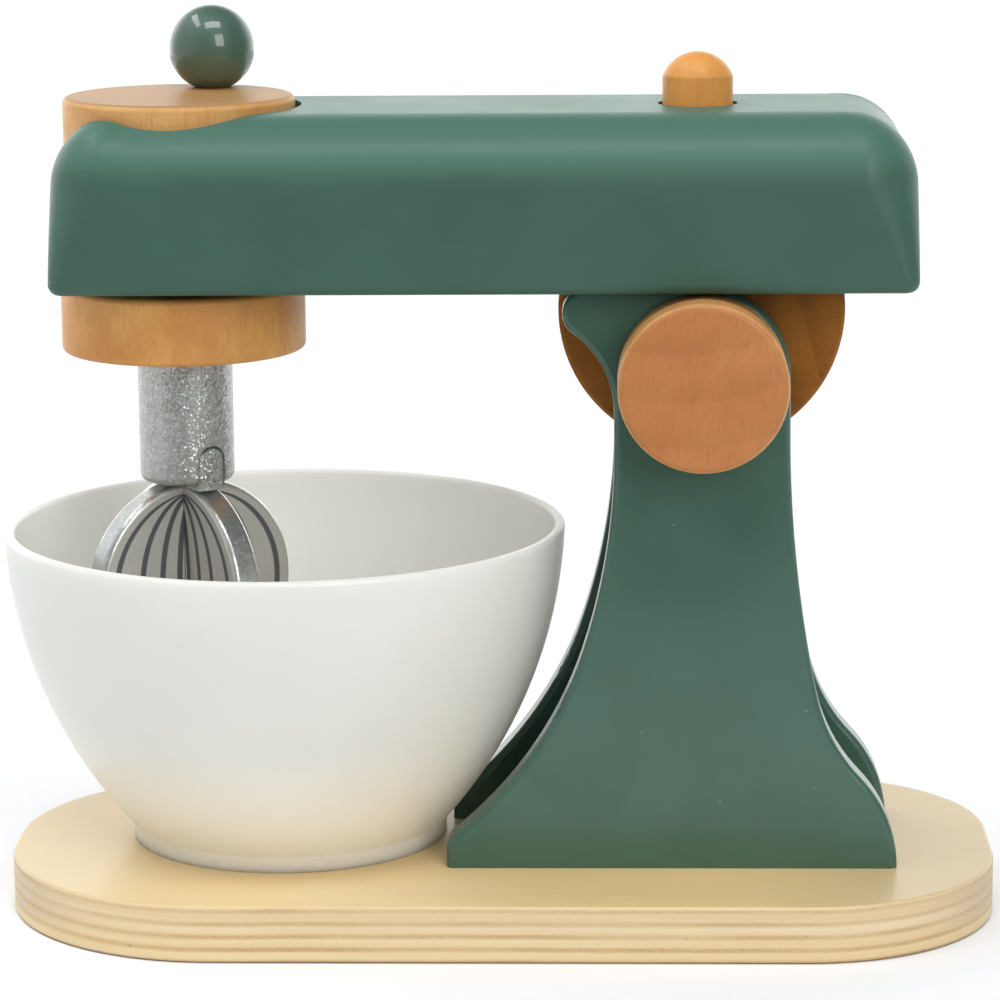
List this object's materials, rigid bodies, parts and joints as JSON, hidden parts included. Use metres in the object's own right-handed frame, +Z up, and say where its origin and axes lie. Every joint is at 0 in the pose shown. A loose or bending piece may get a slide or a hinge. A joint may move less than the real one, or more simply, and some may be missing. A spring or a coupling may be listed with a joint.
{
  "type": "toy stand mixer",
  "caption": "Wooden toy stand mixer with a tilting head, a crank disc with a ball handle that turns the whisk, a push button and a loose mixing bowl on a plywood base.",
  "frame": {"origin": "centre of the base board's underside", "axes": "+X along the base board from the bowl to the uprights, +Y from the front to the back, +Z up"},
  "size_m": [0.2214, 0.126, 0.1996],
  "materials": {
    "birch_plywood": "clear satin lacquer on birch plywood, with the layers showing at the edge",
    "green_paint": "glossy sage green paint on wood",
    "beech": "clear satin lacquer on beech",
    "silver_paint": "silver glitter paint on wood",
    "cream_plastic": "smooth off-white plastic",
    "zinc_steel": "zinc-plated steel"
  },
  "bodies": {
    "base": {"base_board": "birch_plywood", "base_screws": "zinc_steel", "front_upright": "green_paint", "rear_upright": "green_paint"},
    "pivot_pin": {"pivot_axle": "beech", "front_knob": "beech", "rear_knob": "beech"},
    "head": {"arm_body": "green_paint", "hinge_block": "beech", "block_dowels": "beech", "button_spring": "zinc_steel"},
    "rotor": {"crank_disc": "beech", "crank_ball": "green_paint", "ball_dowel": "beech", "rotor_axle": "beech", "whisk_collar": "beech", "whisk_shaft": "silver_paint", "whisk_blade_long": "silver_paint", "whisk_blade_cross": "silver_paint"},
    "button": {"press_button": "beech"},
    "mixing_bowl": {"bowl": "cream_plastic"}
  },
  "joints": [
    {"name": "head_tilt", "type": "hinge", "parent": "base", "child": "head", "pos_m": [0.0447, 0, 0.1223], "axis": [0, 1, 0], "range_deg": [0, 87]},
    {"name": "knob_turn", "type": "hinge", "parent": "base", "child": "pivot_pin", "pos_m": [0.0447, 0, 0.1223], "axis": [0, 1, 0], "continuous": true},
    {"name": "crank_spin", "type": "hinge", "parent": "head", "child": "rotor", "pos_m": [-0.0694, 0, 0.1223], "axis": [0, 0, 1], "continuous": true},
    {"name": "button_press", "type": "slide", "parent": "head", "child": "button", "axis": [0, 0, -1], "range_m": [0, 0.005], "stiffness_N_per_m": 400, "springref_m": -0.002, "deforming": ["button_spring"]},
    {"name": "bowl_turn", "type": "hinge", "parent": "base", "child": "mixing_bowl", "pos_m": [-0.0484, 0.0075, 0.0125], "axis": [0, 0, 1], "continuous": true}
  ]
}
